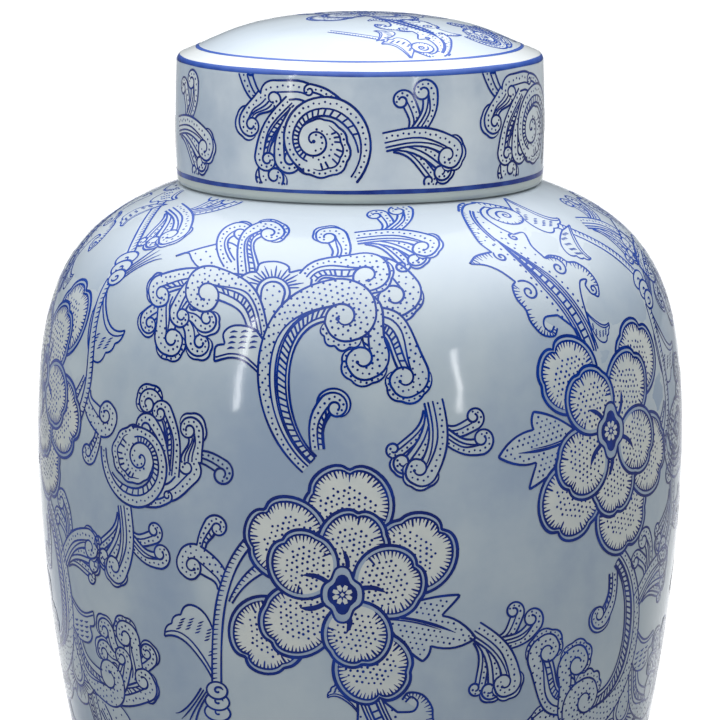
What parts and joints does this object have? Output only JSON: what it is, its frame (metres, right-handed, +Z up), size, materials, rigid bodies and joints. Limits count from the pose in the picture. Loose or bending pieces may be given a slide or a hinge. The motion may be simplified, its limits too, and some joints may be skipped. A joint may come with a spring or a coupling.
{
  "type": "ginger jar",
  "caption": "Lidded ginger jar with a broad shoulder, tapered body and domed cap lid that lifts off; blue and white glazed floral decoration.",
  "frame": {"origin": "on the jar's axis, on the surface that the felt pads stand on", "axes": "+Z up along the jar's axis, -Y towards the side that carries the large lower flower; the jar is round, so X and Y follow the decoration only"},
  "size_m": [0.21, 0.21, 0.32],
  "materials": {
    "glazed_stoneware": "gloss",
    "felt": "matte",
    "cobalt_ink": "gloss",
    "petal_white": "gloss"
  },
  "bodies": {
    "jar": {"jar_body": "glazed_stoneware", "felt_pad_1": "felt", "felt_pad_2": "felt", "felt_pad_3": "felt", "felt_pad_4": "felt"},
    "lid": {"lid": "glazed_stoneware"}
  },
  "joints": [
    {"name": "lid_lift", "type": "slide", "parent": "jar", "child": "lid", "axis": [0, 0, 1], "range_m": [0, 0.15]}
  ]
}
